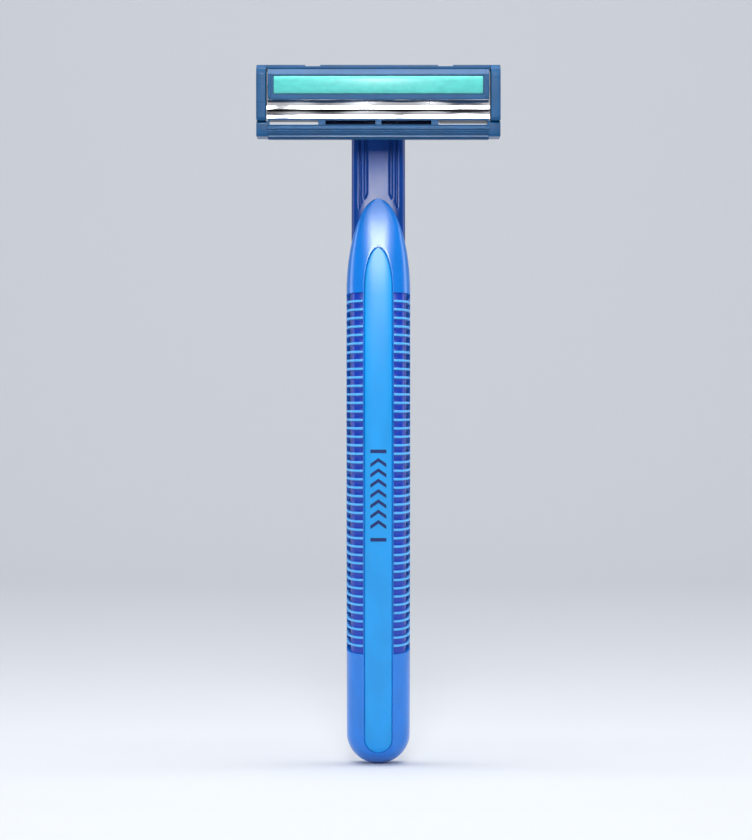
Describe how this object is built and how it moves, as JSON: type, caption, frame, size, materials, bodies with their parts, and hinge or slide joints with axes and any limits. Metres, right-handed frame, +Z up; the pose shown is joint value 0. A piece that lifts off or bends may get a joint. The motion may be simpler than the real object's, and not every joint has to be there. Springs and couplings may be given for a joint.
{
  "type": "cartridge razor",
  "caption": "Wet-shaving razor with a bowed ribbed handle and a twin-blade cartridge that slides sideways off a T rail at the top of the neck.",
  "frame": {"origin": "under the razor as it is pictured, head up: the middle of its bounding box at the lowest point of the round end of the grip", "axes": "+Z up the handle to the cartridge, -Y the side that the blades face, +X the way the cartridge slides off its rail"},
  "size_m": [0.041, 0.0209, 0.1193],
  "materials": {
    "core": "glossy navy polypropylene",
    "shell": "satin azure polypropylene",
    "panel": "satin azure polypropylene",
    "side_grip": "smooth azure elastomer",
    "cartridge": "satin steel-blue polystyrene",
    "blade": "polished blade steel",
    "spacer": "plain rolled",
    "strip": "smooth mint lubricating polymer"
  },
  "bodies": {
    "handle": {"handle_core": "core", "grip_shell": "shell", "thumb_panel": "panel", "side_grip_left": "side_grip", "side_grip_right": "side_grip"},
    "cartridge": {"platform": "cartridge", "seat_blade": "blade", "blade_spacer": "spacer", "cap_blade": "blade", "cap": "cartridge", "lube_strip": "strip", "head_frame": "cartridge"}
  },
  "joints": [
    {"name": "cartridge_slide", "type": "slide", "parent": "handle", "child": "cartridge", "axis": [1, 0, 0], "range_m": [0, 0.03]}
  ]
}
